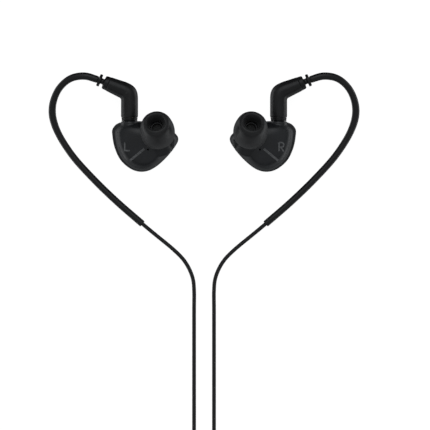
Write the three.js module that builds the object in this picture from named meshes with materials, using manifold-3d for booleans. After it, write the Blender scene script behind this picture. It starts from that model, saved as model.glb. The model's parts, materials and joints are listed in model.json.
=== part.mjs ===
// In-ear monitors: a pair of stage earpieces on swivelling push-in plugs, with formed ear hooks and
// one shared cable, laid flat with their outer shells down. Millimetres, +Z up. The origin lies on
// the surface, under the middle of the pair. The left side is modelled and the right side mirrors it.
import * as THREE from 'three';
import { mergeVertices } from 'three/addons/utils/BufferGeometryUtils.js';
import Module from 'manifold-3d';

const wasm = await Module();
wasm.setup();

// ---------------------------------------------------------------- driving dimensions
const GAP = 0.3; // clearance between pieces that touch

const HOUSING = { x: -22, y: 0.9, seam: 4.5, wall: 1.0 };
// Rounded triangle of the housing, about its centre: the corners are upper left, right and bottom.
const HOUSING_OUTLINE = [
  [-8.2, 8.3], [-11.3, 6.1], [-11.45, 3.0], [-10.55, -1.3], [-8.35, -5.7], [-4.5, -8.9], [-0.4, -9.8],
  [3.6, -8.5], [7.9, -4.9], [11.6, -0.3], [12.6, 2.4], [11.0, 4.6], [6.8, 7.1], [0, 8.6],
];
const OUTLINE_STEPS = 28;
// Height, scale and sideways shift of the sections of each shell.
const OUTER_SECTIONS = [[0, 0.85, 0, 0], [0.45, 0.93, 0, 0], [1.4, 0.985, 0, 0], [4.35, 1, 0, 0]];
const INNER_SECTIONS = [
  [4.65, 0.955, 0.45, -0.2], [6.4, 0.945, 0.5, -0.2], [8.0, 0.9, 0.8, 0], [9.3, 0.81, 1.3, 0.2],
  [10.4, 0.67, 2.1, 0.5], [11.2, 0.48, 3.1, 0.9], [11.7, 0.26, 4.1, 1.3],
];
const VENT = { x: -20.4, y: -0.9, radius: 0.38 };

const AXIS = { x: -27.2, z: 5.9 }; // the plug's swivel axis, along Y
const SOCKET = { radius: 2.2, bottom: 4.4, top: 9.3 };
const BOSS_RADIUS = 3.3;
const COLLAR_BOTTOM = 9.8;

const ELBOW = { radius: 3.1, bottom: 10.9, cornerY: 19.95, turn: 67.5, inner: 1.0, bulge: 0.4, sides: 16 };
const ARM = { length: 8.1, endRadius: 2.65 };

const HOOK = { radius: 1.25, bore: 0.9, lead: 0.6, steps: 22 };
const HOOK_ROUTE = [
  [-38.9, 24.8, 5.9], [-43.6, 26.0, 5.6], [-48.6, 25.2, 4.6], [-52.6, 22.0, 3.3], [-55.0, 17.2, 2.05],
  [-55.5, 12.2, 1.4], [-53.85, 6.3, 1.25], [-48.5, -2.5, 1.25], [-40.7, -11.3, 1.25], [-31.6, -20.1, 1.25],
  [-23.1, -27.45, 1.25],
];

// The ear tip's widest circle is centred here; the nozzle points up and towards +Y.
const TIP = { centre: [-16.85, 5.65, 15.5], lean: [-0.1, 0.515, 0.851] };
const NOZZLE = { radius: 2.3, bore: 1.7, root: -7.2, end: 2.8 };

const BRANCH = {
  radius: 0.71, coilX: -12.47, coilY: -118, coilRadius: 7.4, coilHalfWidth: 2.15, coilHeight: 2.75,
};
const BRANCH_ROUTE = [
  [-22.8, -27.7, 1.25], [-20.8, -29.4, 1.05], [-17.9, -31.8, 0.74], [-10.9, -37.6, 0.73],
  [-7.4, -41.2, 0.73], [-5.2, -44.9, 0.73], [-4.0, -48.4, 0.73], [-3.65, -52.1, 0.73], [-3.65, -60, 0.73],
  [-3.65, -86, 0.73], [-3.65, -110.9, 0.73],
];
const BRANCH_END_ROUTE = [
  [-4.3, -125.4, 1.9], [-4.0, -129, 1.5], [-2.4, -134, 1.6], [-1.6, -138.5, 1.8], [-1.6, -161.7, 1.8],
];
const SLIDER = { y: -156.5, length: 8, halfWidth: 3.5, halfHeight: 1.8, boreWidth: 2.65, boreHeight: 1.05 };
const SPLIT = { top: -162, bottom: -178, height: 3.8 };

const MAIN = {
  radius: 1.1, coilX: -16.5, coilY: -202, coilRadius: 13.2, coilHalfWidth: 4.4, coilHeight: 8.0,
};
const MAIN_ROUTE = [[0, -178.3, 1.9], [0, -182.5, 1.5], [0, -186.5, 1.3], [0, -188.7, 1.3]];
const TAIL_ROUTE = [
  [-27.5, -217.4, 6.9], [-33.5, -216.2, 5.2], [-38.8, -212.2, 3.2], [-41.4, -206.2, 2.2],
  [-42, -200.4, 2.9], [-42, -197.5, 3.4],
];
const TIE = { thickness: 0.7, branchWidth: 4, mainWidth: 6 };
const JACK = { x: -42, y: -197.2, z: 3.4 };

// ---------------------------------------------------------------- materials
const material = (color, roughness, metalness = 0) =>
  new THREE.MeshStandardMaterial({ color, roughness, metalness });
const MATERIALS = {
  shell: material(0x24262a, 0.18),
  silicone: material(0x2b2b2d, 0.6),
  plug: material(0x1e1e20, 0.4),
  cable: material(0x161616, 0.5),
  gold: material(0xc9a24a, 0.3, 1),
  steel: material(0x9a9a9c, 0.35, 1),
  insulator: material(0xe4e2dc, 0.5),
  board: material(0x1f5a36, 0.5),
  strap: material(0x202022, 0.8),
};

// ---------------------------------------------------------------- shape helpers
const vector = ([x, y, z]) => new THREE.Vector3(x, y, z);
const UP_Y = new THREE.Vector3(0, 1, 0);

function mesh(name, geometry, finish) {
  const piece = new THREE.Mesh(geometry, MATERIALS[finish]);
  piece.name = name;
  return piece;
}

// Turns a profile of [radius, height] points about Y. It runs up the outside and down the inside.
function lathe(profile, segments = 16) {
  return new THREE.LatheGeometry(profile.map(([r, h]) => new THREE.Vector2(r, h)), segments);
}

const tube = (inner, outer, low, high, segments) =>
  lathe([[inner, low], [outer, low], [outer, high], [inner, high], [inner, low]], segments);

const rod = (radius, low, high, segments) =>
  lathe([[0, low], [radius, low], [radius, high], [0, high]], segments);

// A box from its lowest to its highest corner.
function block(low, high) {
  const size = high.map((value, i) => value - low[i]);
  const box = new THREE.BoxGeometry(...size);
  return box.translate(...low.map((value, i) => value + size[i] / 2));
}

// A closed skin over rings of equally many points, each ring anticlockwise seen from the last one.
function loft(rings) {
  const count = rings[0].length;
  const points = rings.flat();
  const ends = [rings[0], rings[rings.length - 1]].map(
    (ring) => ring.reduce((sum, p) => sum.add(p), new THREE.Vector3()).divideScalar(count));
  const start = points.push(...ends) - 2;
  const faces = [];
  for (let i = 0; i < count; i++) {
    const j = (i + 1) % count;
    for (let k = 0; k < rings.length - 1; k++) {
      const [a, b] = [k * count + i, k * count + j];
      faces.push(a, b, b + count, a, b + count, a + count);
    }
    const last = (rings.length - 1) * count;
    faces.push(start, j, i, start + 1, last + i, last + j);
  }
  const geometry = new THREE.BufferGeometry().setFromPoints(points);
  geometry.setIndex(faces);
  return geometry;
}

function solid(geometry) {
  const bare = geometry.clone();
  bare.deleteAttribute('normal');
  bare.deleteAttribute('uv');
  const merged = mergeVertices(bare, 1e-4);
  return new wasm.Manifold(new wasm.Mesh({
    numProp: 3,
    vertProperties: new Float32Array(merged.attributes.position.array),
    triVerts: new Uint32Array(merged.index.array),
  }));
}

function geometryOf(manifold) {
  const { vertProperties, triVerts } = manifold.getMesh();
  const geometry = new THREE.BufferGeometry();
  geometry.setAttribute('position', new THREE.BufferAttribute(new Float32Array(vertProperties), 3));
  geometry.setIndex(new THREE.BufferAttribute(new Uint32Array(triVerts), 1));
  return geometry;
}

const join = (first, ...others) => others.reduce((sum, other) => sum.add(solid(other)), solid(first));
const cut = (body, ...tools) =>
  geometryOf(tools.reduce((rest, tool) => rest.subtract(solid(tool)), body));

// A section swept along a smooth route.
function sweep(route, section, steps) {
  const path = new THREE.CatmullRomCurve3(route.map(vector), false, 'centripetal');
  return new THREE.ExtrudeGeometry(section, { extrudePath: path, steps, curveSegments: 1 });
}

function polygon(radius, sides, Kind = THREE.Shape) {
  const corner = (i) => (2 * Math.PI * i) / sides;
  const points = Array.from({ length: sides }, (_, i) =>
    new THREE.Vector2(radius * Math.cos(corner(i)), radius * Math.sin(corner(i))));
  return new Kind(points);
}

// A rounded rectangle about the origin.
function roundedRectangle(halfWidth, halfHeight, corner, Kind = THREE.Shape) {
  const shape = new Kind();
  const [x, y] = [halfWidth - corner, halfHeight - corner];
  shape.absarc(x, -y, corner, -Math.PI / 2, 0, false);
  shape.absarc(x, y, corner, 0, Math.PI / 2, false);
  shape.absarc(-x, y, corner, Math.PI / 2, Math.PI, false);
  shape.absarc(-x, -y, corner, Math.PI, 1.5 * Math.PI, false);
  return shape;
}

// A piece turned about Y, moved onto the swivel axis.
const onAxis = (piece) => {
  piece.position.set(AXIS.x, 0, AXIS.z);
  return piece;
};

// ---------------------------------------------------------------- housing
const outlineCurve = new THREE.CatmullRomCurve3(HOUSING_OUTLINE.map(([x, y]) => vector([x, y, 0])), true);
const outline = outlineCurve.getSpacedPoints(OUTLINE_STEPS).slice(0, OUTLINE_STEPS);

// One section of the housing.
function housingRing(z, scale, shiftX, shiftY) {
  return outline.map((p) => vector([
    HOUSING.x + shiftX + p.x * scale, HOUSING.y + shiftY + p.y * scale, z]));
}

// The inner shell's sections, a wall's thickness further in; the first one is carried past the opening.
function cavity() {
  const inset = HOUSING.wall / 10;
  return loft(INNER_SECTIONS.map(([z, scale, shiftX, shiftY]) =>
    housingRing(z - HOUSING.wall, scale - inset, shiftX, shiftY)));
}

const onSwivelAxis = (geometry) => geometry.translate(AXIS.x, 0, AXIS.z);
const socketBoss = () => onSwivelAxis(rod(BOSS_RADIUS, 3, 9, 20));
const socketBore = () => onSwivelAxis(rod(SOCKET.radius + GAP, SOCKET.bottom - GAP, 12, 16));

function outerShell(side) {
  const half = HOUSING.seam - GAP / 2;
  const boss = solid(socketBoss()).intersect(solid(block([-40, 0, 0], [-10, 20, half])));
  const hollow = loft([[1.2, 0.8], [2.2, 0.88], [half + 1, 0.9]].map(([z, s]) => housingRing(z, s, 0, 0)));
  const body = solid(loft(OUTER_SECTIONS.map((s) => housingRing(...s)))).add(boss);
  return mesh(`${side}_outer_shell`, cut(body, hollow, socketBore()), 'shell');
}

// Along the nozzle, measured from the ear tip's widest circle.
function alongNozzle(geometry) {
  const turn = new THREE.Quaternion().setFromUnitVectors(UP_Y, vector(TIP.lean).normalize());
  return geometry.applyQuaternion(turn).translate(...TIP.centre);
}

function innerShell(side) {
  const half = HOUSING.seam + GAP / 2;
  const boss = solid(socketBoss()).intersect(solid(block([-40, 0, half], [-10, 20, 20])));
  const nozzleBoss = alongNozzle(lathe([[0, -8], [4.6, -8], [4.1, -5.6], [3.1, -3.6], [0, -3.6]], 20));
  const body = join(loft(INNER_SECTIONS.map((s) => housingRing(...s))), nozzleBoss).add(boss);
  const nozzleBore = alongNozzle(rod(NOZZLE.radius + GAP, -9, -2, 20));
  const ventBore = new THREE.CylinderGeometry(VENT.radius, VENT.radius, 10, 8)
    .rotateX(Math.PI / 2).translate(VENT.x, VENT.y, 10);
  return mesh(`${side}_inner_shell`, cut(body, cavity(), nozzleBore, socketBore(), ventBore), 'shell');
}

// The drivers and their board, held inside the housing.
function electronics(side) {
  return [
    mesh(`${side}_bass_driver`, block([-24.5, -4.5, 1.9], [-16.5, -0.5, 5.3]), 'steel'),
    mesh(`${side}_treble_driver`, block([-19.5, 1.4, 4.0], [-14.3, 4.4, 6.4]), 'steel'),
    mesh(`${side}_crossover_board`, block([-25.2, 0.4, 1.8], [-17.6, 5.6, 2.6]), 'board'),
  ];
}

// ---------------------------------------------------------------- nozzle and ear tip
function nozzle(side) {
  const { radius, bore, root, end } = NOZZLE;
  const wall = lathe([[bore, root], [radius, root], [radius, 1.4], [radius + 0.12, 1.8], [radius, end],
    [bore, end], [bore, root]], 20);
  return [
    mesh(`${side}_nozzle_tube`, alongNozzle(wall), 'plug'),
    mesh(`${side}_nozzle_screen`, alongNozzle(rod(bore - 0.15, 1.7, 2.1, 16)), 'steel'),
  ];
}

// A silicone mushroom: a sleeve that grips the nozzle and a skirt folded back round it.
function earTip(side) {
  const skirtOutside = [[5.9, -2.7], [6.2, -1.4], [6.25, 0], [6.15, 1.4], [5.9, 2.9], [5.6, 4.4], [5.15, 5.5],
    [4.5, 6.2], [3.9, 6.4], [3.35, 6.1]];
  const mouth = [[2.9, 5.2], [2.3, 4.2], [2.25, 3.2], [2.65, 3.1]];
  const sleeve = [[2.65, -2.2], [3.3, -2.2], [3.4, 4.2]];
  const skirtInside = [[4.3, 4.6], [5.1, 3.2], [5.45, 1.2], [5.5, -0.6], [5.3, -2.5]];
  const profile = [...skirtOutside, ...mouth, ...sleeve, ...skirtInside, skirtOutside[0]];
  return mesh(`${side}_ear_tip`, alongNozzle(lathe(profile, 20)), 'silicone');
}

// ---------------------------------------------------------------- connector
function socket(side) {
  const { radius, bottom, top } = SOCKET;
  const barrel = lathe([[0.85, bottom], [radius, bottom], [radius, top], [1.85, top], [1.85, bottom + 0.6],
    [0.85, bottom + 0.6], [0.85, bottom]]);
  const contact = lathe([[0, 3.9], [0.55, 3.9], [0.55, 7.7], [0.38, 7.7], [0.38, 5.5], [0, 5.5]], 12);
  return [
    mesh(`${side}_socket_barrel`, barrel, 'gold'),
    mesh(`${side}_socket_insulator`, tube(0.7, 1.7, 5.15, 5.8, 16), 'insulator'),
    mesh(`${side}_socket_contact`, contact, 'gold'),
  ].map(onAxis);
}

// The split ring that snaps the plug home and lets it swivel.
function snapRing(side) {
  const ring = new THREE.Shape();
  const opening = Math.PI / 6;
  ring.absarc(0, 0, 1.65, opening, 2 * Math.PI - opening, false);
  ring.absarc(0, 0, 1.3, 2 * Math.PI - opening, opening, true);
  const geometry = new THREE.ExtrudeGeometry(ring, { depth: 0.5, bevelEnabled: false, curveSegments: 12 });
  return onAxis(mesh(`${side}_snap_ring`, geometry.rotateX(Math.PI / 2).translate(0, 7.75, 0), 'steel'));
}

function plugContacts(side) {
  const barrel = lathe([[0.95, 6.1], [1.4, 6.1], [1.4, 7.1], [1.15, 7.1], [1.15, 7.9], [1.4, 7.9],
    [1.4, 13.4], [0.95, 13.4], [0.95, 6.1]]);
  return [
    mesh(`${side}_plug_barrel`, barrel, 'gold'),
    mesh(`${side}_plug_insulator`, tube(0.35, 0.82, 8.2, 13.2, 12), 'insulator'),
    mesh(`${side}_plug_pin`, rod(0.25, 6.4, 13, 8), 'gold'),
    mesh(`${side}_plug_collar`, tube(1.6, 2.9, COLLAR_BOTTOM, ELBOW.bottom - GAP, 20), 'plug'),
  ].map(onAxis);
}

// Sections of the elbow: up the swivel axis, round the bend about its inner corner, out along the arm.
function elbowRings() {
  const { radius, bottom, cornerY, turn, inner, bulge } = ELBOW;
  const bendRadius = inner + radius;
  const half = THREE.MathUtils.degToRad(turn / 2);
  const bendStart = cornerY - bendRadius * Math.tan(half);
  const pivot = new THREE.Vector3(AXIS.x - bendRadius, bendStart, AXIS.z);
  const ring = (centre, outward, across, high) => Array.from({ length: ELBOW.sides }, (_, i) => {
    const angle = (2 * Math.PI * i) / ELBOW.sides;
    return centre.clone().addScaledVector(outward, across * Math.cos(angle))
      .add(new THREE.Vector3(0, 0, -high * Math.sin(angle)));
  });
  const right = new THREE.Vector3(1, 0, 0);
  const onStem = (y, r) => ring(new THREE.Vector3(AXIS.x, y, AXIS.z), right, r, r);
  const bendSteps = 5;
  const bend = Array.from({ length: bendSteps + 1 }, (_, i) => {
    const share = i / bendSteps;
    const outward = right.clone().applyAxisAngle(new THREE.Vector3(0, 0, 1), 2 * half * share);
    const across = radius + (bulge / 2) * Math.sin(Math.PI * share) ** 2;
    return ring(pivot.clone().addScaledVector(outward, inner + across), outward, across, radius);
  });
  const outward = right.clone().applyAxisAngle(new THREE.Vector3(0, 0, 1), 2 * half);
  const armEnd = armPoint(ARM.length);
  return [onStem(bottom, radius - 0.2), onStem(bottom + 0.3, radius), ...bend,
    ring(armEnd, outward, ARM.endRadius, ARM.endRadius)];
}

const armDirection = () => UP_Y.clone().applyAxisAngle(new THREE.Vector3(0, 0, 1),
  THREE.MathUtils.degToRad(ELBOW.turn));
const armPoint = (distance) =>
  new THREE.Vector3(AXIS.x, ELBOW.cornerY, AXIS.z).addScaledVector(armDirection(), distance);

function plugElbow(side) {
  const bore = onSwivelAxis(rod(1.6, ELBOW.bottom - 1, 13.8, 16));
  return mesh(`${side}_plug_elbow`, cut(solid(loft(elbowRings())), bore), 'plug');
}

// A ring, a slim neck and one rib, where the lead leaves the elbow's arm.
function strainRelief(side) {
  const profile = [[0, 8.4], [2.6, 8.4], [2.45, 9.8], [2.2, 10.1], [1.1, 10.2], [1.05, 11.2], [2.3, 11.3],
    [2.3, 12.3], [0, 12.3]];
  const piece = mesh(`${side}_strain_relief`, lathe(profile, 20), 'plug');
  piece.position.copy(armPoint(0));
  piece.quaternion.setFromUnitVectors(UP_Y, armDirection());
  return piece;
}

// ---------------------------------------------------------------- ear hook and branch cable
function earHook(side) {
  const section = polygon(HOOK.radius, 10);
  section.holes.push(polygon(HOOK.bore, 8, THREE.Path));
  return [
    mesh(`${side}_ear_hook`, sweep(HOOK_ROUTE, section, HOOK.steps), 'cable'),
    mesh(`${side}_hook_lead`, sweep(HOOK_ROUTE, polygon(HOOK.lead, 8), HOOK.steps), 'cable'),
  ];
}

// A wound coil as one flat ring, notched underneath where its tie passes.
function coil(name, { coilX, coilY, coilRadius, coilHalfWidth, coilHeight }, tieWidth) {
  const ring = tube(coilRadius - coilHalfWidth, coilRadius + coilHalfWidth, 0, coilHeight, 24)
    .rotateX(Math.PI / 2).translate(coilX, coilY, 0);
  const reach = tieWidth / 2 + GAP;
  const notch = block([coilX - reach, coilY, -1], [coilX + reach, coilY + 40, TIE.thickness + GAP]);
  return mesh(name, cut(solid(ring), notch), 'cable');
}

// A strap round one side of a coil, at its +Y side.
function coilTie(name, { coilX, coilY, coilRadius, coilHalfWidth, coilHeight }, width) {
  const innerEdge = Math.sqrt((coilRadius - coilHalfWidth) ** 2 - (width / 2) ** 2) - GAP;
  const outerEdge = coilRadius + coilHalfWidth + GAP;
  const halfDepth = (outerEdge - innerEdge) / 2;
  const halfHeight = (coilHeight + GAP + TIE.thickness) / 2;
  const band = roundedRectangle(halfDepth + TIE.thickness, halfHeight, 1);
  band.holes.push(roundedRectangle(halfDepth, halfHeight - TIE.thickness, 0.3, THREE.Path));
  const geometry = new THREE.ExtrudeGeometry(band, { depth: width, bevelEnabled: false, curveSegments: 3 });
  geometry.rotateX(Math.PI / 2).rotateZ(Math.PI / 2);
  geometry.translate(coilX - width / 2, coilY + (innerEdge + outerEdge) / 2, halfHeight);
  return mesh(name, geometry, 'strap');
}

function branchCable(side) {
  const section = polygon(BRANCH.radius, 8);
  return [
    mesh(`${side}_cable`, sweep(BRANCH_ROUTE, section, 22), 'cable'),
    coil(`${side}_cable_coil`, BRANCH, TIE.branchWidth),
    coilTie(`${side}_coil_tie`, BRANCH, TIE.branchWidth),
    mesh(`${side}_cable_end`, sweep(BRANCH_END_ROUTE, section, 9), 'cable'),
  ];
}

// ---------------------------------------------------------------- shared cable
// An oval bead that both branch cables pass through.
function chinSlider() {
  const { y, length, halfWidth, halfHeight, boreWidth, boreHeight } = SLIDER;
  const section = roundedRectangle(halfWidth, halfHeight, halfHeight - 0.01);
  section.holes.push(roundedRectangle(boreWidth, boreHeight, boreHeight - 0.01, THREE.Path));
  const options = { depth: length, bevelEnabled: false, curveSegments: 4 };
  const geometry = new THREE.ExtrudeGeometry(section, options);
  return mesh('chin_slider', geometry.rotateX(Math.PI / 2).translate(0, y + length / 2, halfHeight), 'plug');
}

function ySplit() {
  const { top, bottom, height } = SPLIT;
  const bevel = 0.8;
  const shape = new THREE.Shape();
  const edge = (halfWidth) => halfWidth - bevel;
  shape.moveTo(-edge(1.9), bottom + bevel);
  shape.lineTo(edge(1.9), bottom + bevel);
  shape.bezierCurveTo(edge(2.3), bottom + 6, edge(3.6), bottom + 7, edge(3.6), top - bevel);
  shape.lineTo(-edge(3.6), top - bevel);
  shape.bezierCurveTo(-edge(3.6), bottom + 7, -edge(2.3), bottom + 6, -edge(1.9), bottom + bevel);
  const geometry = new THREE.ExtrudeGeometry(shape, { depth: height - 2 * bevel, bevelSize: bevel,
    bevelThickness: bevel, bevelSegments: 2, curveSegments: 5 });
  return mesh('y_split', geometry.translate(0, 0, bevel), 'plug');
}

function mainCable() {
  const section = polygon(MAIN.radius, 8);
  return [
    mesh('main_cable', sweep(MAIN_ROUTE, section, 4), 'cable'),
    coil('main_cable_coil', MAIN, TIE.mainWidth),
    coilTie('main_coil_tie', MAIN, TIE.mainWidth),
    mesh('main_cable_end', sweep(TAIL_ROUTE, section, 12), 'cable'),
  ];
}

// A three-pole 3.5 mm plug, lying along +Y beside the coil.
function jackPlug() {
  const relief = [[0, 0], [1.45, 0], [1.7, 3], [2.3, 9], [0, 9]];
  const handle = [[0, 9.3], [2.6, 9.3], [3.4, 10.1], [3.4, 26.6], [3.0, 27.3], [2.05, 27.3], [2.05, 25.3],
    [0, 25.3]];
  const insulator = [[0.7, 25.8], [1.2, 25.8], [1.2, 35.0], [1.65, 35.0], [1.65, 35.5], [1.2, 35.5],
    [1.2, 37.7], [1.65, 37.7], [1.65, 38.2], [0.7, 38.2], [0.7, 25.8]];
  const tip = [[0, 25.6], [0.55, 25.6], [0.55, 38.3], [1.6, 38.3], [1.1, 39.0], [1.7, 39.9], [1.2, 41.0],
    [0, 41.4]];
  const pieces = [
    mesh('jack_strain_relief', lathe(relief), 'plug'),
    mesh('jack_handle', lathe(handle, 24), 'plug'),
    mesh('jack_sleeve', tube(1.35, 1.75, 25.6, 34.9, 16), 'gold'),
    mesh('jack_ring', tube(1.35, 1.75, 35.6, 37.6, 16), 'gold'),
    mesh('jack_insulator', lathe(insulator), 'insulator'),
    mesh('jack_tip', lathe(tip), 'gold'),
  ];
  pieces.forEach((piece) => piece.position.set(JACK.x, JACK.y, JACK.z));
  return pieces;
}

// ---------------------------------------------------------------- assembly
function monitor(side) {
  const half = new THREE.Group();
  half.add(outerShell(side), innerShell(side), ...electronics(side), ...nozzle(side), earTip(side),
    ...socket(side), snapRing(side), ...plugContacts(side), plugElbow(side), strainRelief(side),
    ...earHook(side), ...branchCable(side));
  return half;
}

const group = new THREE.Group();
const rightSide = monitor('right');
rightSide.scale.x = -1;
group.add(monitor('left'), rightSide, chinSlider(), ySplit(), ...mainCable(), ...jackPlug());

export default group;
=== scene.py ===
"""In-ear monitors lying on a pale table: the look of each piece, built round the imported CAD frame."""
import json
import math

import bmesh
import bpy
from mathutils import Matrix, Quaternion, Vector
from mathutils.bvhtree import BVHTree

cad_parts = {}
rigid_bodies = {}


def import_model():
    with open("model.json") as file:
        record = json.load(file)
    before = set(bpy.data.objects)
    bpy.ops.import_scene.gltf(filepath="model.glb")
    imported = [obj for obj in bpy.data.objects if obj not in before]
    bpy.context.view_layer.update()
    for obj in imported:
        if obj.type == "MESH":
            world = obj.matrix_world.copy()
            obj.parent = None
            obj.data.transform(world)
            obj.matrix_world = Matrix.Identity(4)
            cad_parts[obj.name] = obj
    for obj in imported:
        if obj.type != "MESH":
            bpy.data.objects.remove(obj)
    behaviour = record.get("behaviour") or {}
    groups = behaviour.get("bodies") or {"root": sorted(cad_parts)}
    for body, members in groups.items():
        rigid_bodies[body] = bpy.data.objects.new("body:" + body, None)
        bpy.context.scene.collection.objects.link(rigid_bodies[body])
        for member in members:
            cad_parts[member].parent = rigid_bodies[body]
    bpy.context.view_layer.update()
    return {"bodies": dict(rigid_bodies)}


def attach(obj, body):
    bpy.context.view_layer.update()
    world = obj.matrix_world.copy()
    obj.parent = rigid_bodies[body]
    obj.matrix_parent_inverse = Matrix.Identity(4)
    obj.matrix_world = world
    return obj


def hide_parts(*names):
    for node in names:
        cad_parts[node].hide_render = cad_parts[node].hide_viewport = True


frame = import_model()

MM = 0.001
SIDES = ("left", "right")

# -------------------- sizes, in millimetres, left side
CENTRE = Vector((-22, 0.9, 0))  # of the housing's outline
OUTLINE = [
    (-8.2, 8.3), (-11.3, 6.1), (-11.45, 3.0), (-10.55, -1.3), (-8.35, -5.7), (-4.5, -8.9), (-0.4, -9.8),
    (3.6, -8.5), (7.9, -4.9), (11.6, -0.3), (12.6, 2.4), (11.0, 4.6), (6.8, 7.1), (0, 8.6),
]
# Height, scale and sideways shift of the sections of each shell.
OUTER_SECTIONS = [
    (0.0, 0.84, 0, 0), (0.1, 0.875, 0, 0), (0.45, 0.93, 0, 0), (1.4, 0.985, 0, 0), (2.8, 1.0, 0, 0),
    (4.2, 1.0, 0, 0), (4.38, 0.988, 0, 0),
]
INNER_SECTIONS = [
    (4.62, 0.94, 0.45, -0.2), (4.8, 0.955, 0.45, -0.2), (6.4, 0.945, 0.5, -0.2), (8.0, 0.9, 0.8, 0),
    (9.3, 0.81, 1.3, 0.2), (10.4, 0.67, 2.1, 0.5), (11.2, 0.48, 3.1, 0.9), (11.7, 0.26, 4.1, 1.3),
    (11.85, 0.1, 4.5, 1.4),
]
WALL = 1.0
VENT = (-20.4, -0.9, 0.38)
AXIS = Vector((-27.2, 0, 5.9))  # the plug's swivel axis, along Y
ELBOW_CORNER = Vector((-27.2, 19.95, 5.9))
ELBOW_TURN = math.radians(67.5)
TIP_CENTRE = Vector((-16.85, 5.65, 15.5))
NOZZLE_WAY = Vector((-0.1, 0.515, 0.851)).normalized()
HOOK_RADIUS, HOOK_BORE, LEAD_RADIUS = 1.25, 0.78, 0.6
# The hook sleeve's middle line; both its ends reach a little past the CAD sleeve.
HOOK_ROUTE = [
    (-38.6, 24.67, 5.9), (-43.6, 26.0, 5.6), (-48.6, 25.2, 4.6), (-52.6, 22.0, 3.3), (-55.0, 17.2, 2.05),
    (-55.5, 12.2, 1.4), (-53.85, 6.3, 1.25), (-48.5, -2.5, 1.25), (-40.7, -11.3, 1.25), (-31.6, -20.1, 1.25),
    (-22.5, -28.0, 1.25),
]
BRANCH_RADIUS = 0.71
BRANCH_ROUTE = [
    (-22.8, -27.7, 1.25), (-20.8, -29.4, 1.05), (-17.9, -31.8, 0.74), (-10.9, -37.6, 0.73),
    (-7.4, -41.2, 0.73), (-5.2, -44.9, 0.73), (-4.0, -48.4, 0.73), (-3.65, -52.1, 0.73), (-3.65, -60, 0.73),
    (-3.65, -86, 0.73), (-3.65, -110.9, 0.73),
]
BRANCH_ENTRY = [(-3.65, -113.0, 0.73), (-3.65, -115.5, 0.73)]  # into the coil
BRANCH_END_ROUTE = [
    (-4.3, -125.4, 1.9), (-4.0, -129, 1.5), (-2.4, -134, 1.6), (-1.6, -138.5, 1.8), (-1.6, -161.7, 1.8),
]
# A turn is a step out from the coil's radius and a height; turns are in the order they are wound.
BRANCH_COIL = {
    "centre": (-12.47, -118.0), "radius": 7.4, "half_width": 2.15, "height": 2.75, "tie_width": 4,
    "turns": [(1.42, 0.73), (0, 0.73), (-1.42, 0.73), (-0.71, 1.97), (0.71, 1.97)],
}
MAIN_RADIUS = 1.1
MAIN_ROUTE = [(0, -178.3, 1.9), (0, -182.5, 1.5), (0, -186.5, 1.3), (0, -188.7, 1.3)]
MAIN_ENTRY = [(0, -192.0, 1.25), (0, -197.0, 1.25)]
TAIL_ROUTE = [
    (-27.5, -217.4, 6.9), (-33.5, -216.2, 5.2), (-38.8, -212.2, 3.2), (-41.4, -206.2, 2.2),
    (-42, -200.4, 2.9), (-42, -197.5, 3.4),
]
MAIN_COIL = {
    "centre": (-16.5, -202.0), "radius": 13.2, "half_width": 4.4, "height": 8.0, "tie_width": 6,
    "turns": [(3.3, 1.2), (1.1, 1.15), (-1.1, 1.15), (-3.3, 1.15), (-2.2, 3.06), (0, 3.06), (2.2, 3.06),
              (3.3, 4.97), (1.1, 4.97), (-1.1, 4.97), (-3.3, 4.97), (-2.2, 6.88), (0, 6.88), (2.2, 6.88)],
}
TIE_THICKNESS = 0.7
JACK_FOOT = Vector((-42, -197.2, 3.4))

# -------------------- brightness of the studio
OVERHEAD, SIDE_GLOW, FRONT_GLOW, BACK_PANEL = 0.3, 0.6, 0.3, 0.6
SOFTBOX_POWER = 0.5  # watts
SOFTBOX_REACH, SOFTBOX_HEIGHT, SOFTBOX_SIZE = 0.55, -0.1, (0.9, 0.36)  # metres
FLOOR_GLOW = 0.95
WAVE_REPEAT = 0.314  # of a wave texture whose scale is 1


# -------------------- camera, floor and light
def new_object(name, data):
    made = bpy.data.objects.new(name, data)
    bpy.context.scene.collection.objects.link(made)
    return made


def make_camera():
    """A long lens straight above; the pair's middle line is a little left of the picture's middle."""
    picture_width, picture_level = 157 * MM, 5 * MM
    middle_x, middle_y, lens = 4.0 * MM, -24.7 * MM, 400
    data = bpy.data.cameras.new("camera")
    data.lens = lens
    camera = new_object("camera", data)
    camera.location = (0, middle_y, picture_width * lens / data.sensor_width + picture_level)
    data.shift_x = middle_x / picture_width
    bpy.context.scene.camera = camera


def make_floor():
    """A pale table top that only the camera sees, so it throws no light or shade on the pieces."""
    plane = bmesh.new()
    bmesh.ops.create_grid(plane, x_segments=8, y_segments=8, size=3)
    data = bpy.data.meshes.new("table_top")
    plane.to_mesh(data)
    floor = new_object("table_top", data)
    floor.location.z = -0.05 * MM
    look = Look("pale_table", Base_Color=(0.30, 0.30, 0.30, 1), Roughness=0.8, Specular_IOR_Level=0.0,
                Emission_Color=(1, 1, 1, 1))
    seen = look.node("LightPath").outputs["Is Camera Ray"]
    look.join(look.maths("MULTIPLY", seen, FLOOR_GLOW), look.shader.inputs["Emission Strength"])
    data.materials.append(look.material)
    floor.visible_diffuse = floor.visible_glossy = floor.visible_shadow = False


def make_softbox(name, place):
    """A rectangular lamp that faces the middle; the camera doesn't see it."""
    data = bpy.data.lights.new(name, "AREA")
    data.shape = "RECTANGLE"
    data.size, data.size_y = SOFTBOX_SIZE
    data.energy = SOFTBOX_POWER
    light = new_object(name, data)
    light.location = place
    light.rotation_mode = "QUATERNION"
    light.rotation_quaternion = (Vector() - Vector(place)).to_track_quat("-Z", "Y")
    light.visible_camera = False


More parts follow.
